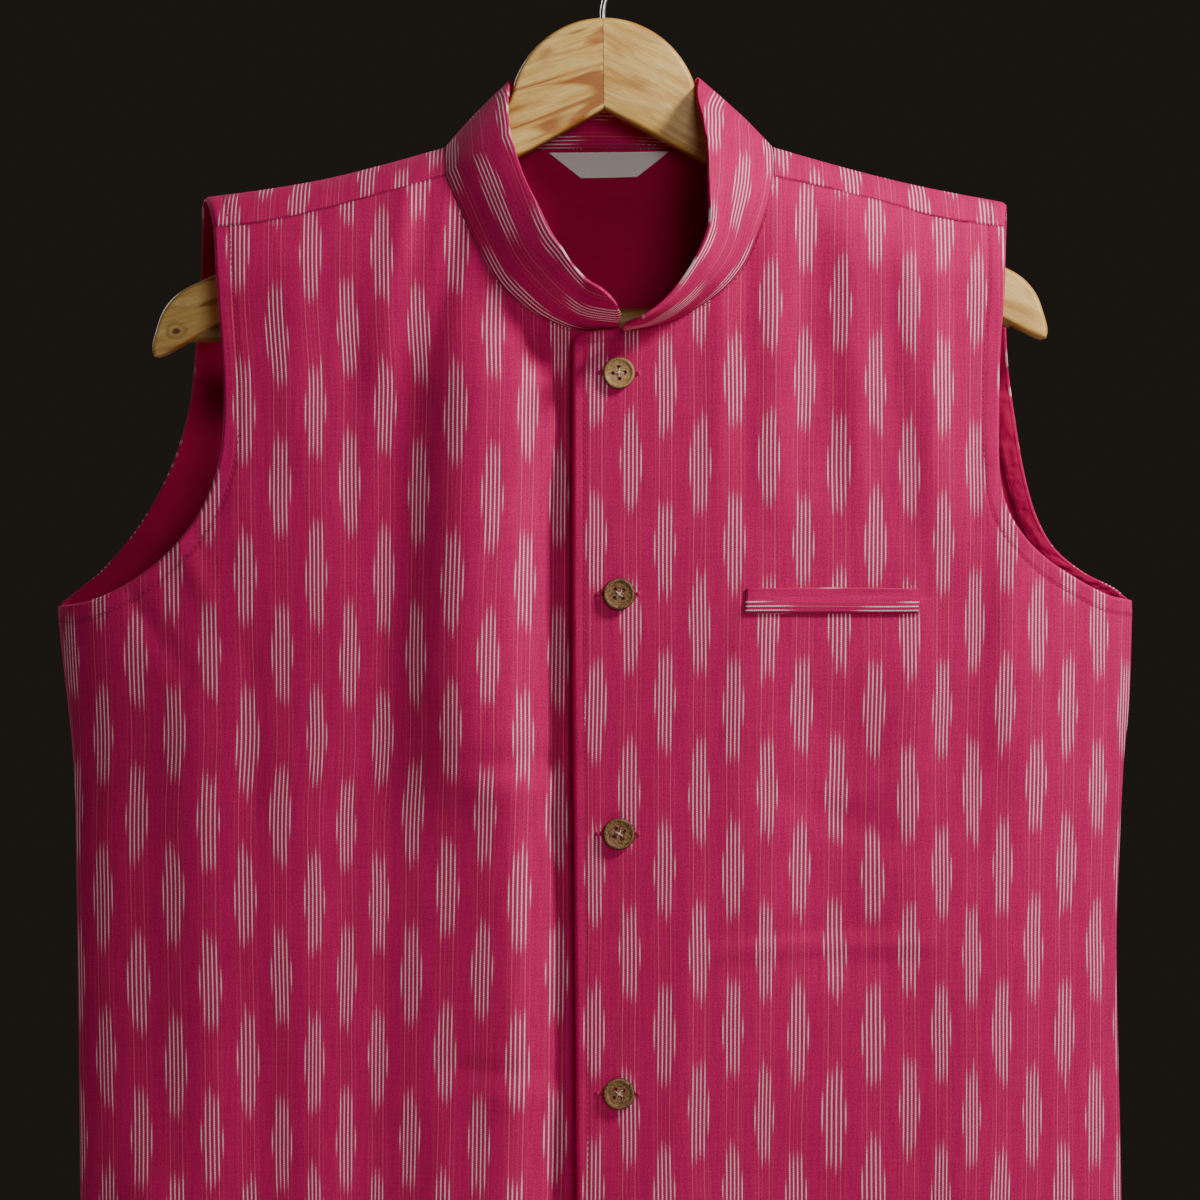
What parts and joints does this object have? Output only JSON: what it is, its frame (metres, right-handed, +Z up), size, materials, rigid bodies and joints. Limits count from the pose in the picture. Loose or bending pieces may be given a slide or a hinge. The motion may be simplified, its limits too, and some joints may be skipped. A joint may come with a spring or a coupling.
{
  "type": "nehru jacket on a wooden hanger",
  "caption": "Sleeveless buttoned cotton ikat jacket with a rounded stand collar and a welt pocket, lined at the back, hung on a flat wooden hanger with a wire hook.",
  "frame": {"origin": "top of the inside of the hanger's hook, where a rod bears", "axes": "+Z up along the hanging garment, -Y out of its front, +X towards the wearer's left"},
  "size_m": [0.5472, 0.1151, 0.8499],
  "materials": {
    "ikat_cotton": "matt handloom cotton, magenta with pale ikat threads",
    "plain_lining": "matt plain magenta cotton",
    "label_tape": "smooth white tape, blank",
    "coconut_shell": "speckled shell, lightly polished",
    "pale_wood": "pale softwood, lightly varnished",
    "hook_steel": "bright plated wire"
  },
  "bodies": {
    "root": {"front_left": "ikat_cotton", "front_right": "ikat_cotton", "back": "ikat_cotton", "collar": "ikat_cotton", "pocket_welt": "ikat_cotton", "back_lining": "plain_lining", "armhole_facing_left": "plain_lining", "armhole_facing_right": "plain_lining", "neck_label": "label_tape", "button_1": "coconut_shell", "button_2": "coconut_shell", "button_3": "coconut_shell", "button_4": "coconut_shell", "button_5": "coconut_shell", "hanger_left": "pale_wood", "hanger_right": "pale_wood", "hanger_bar": "pale_wood", "hook": "hook_steel"}
  },
  "joints": []
}
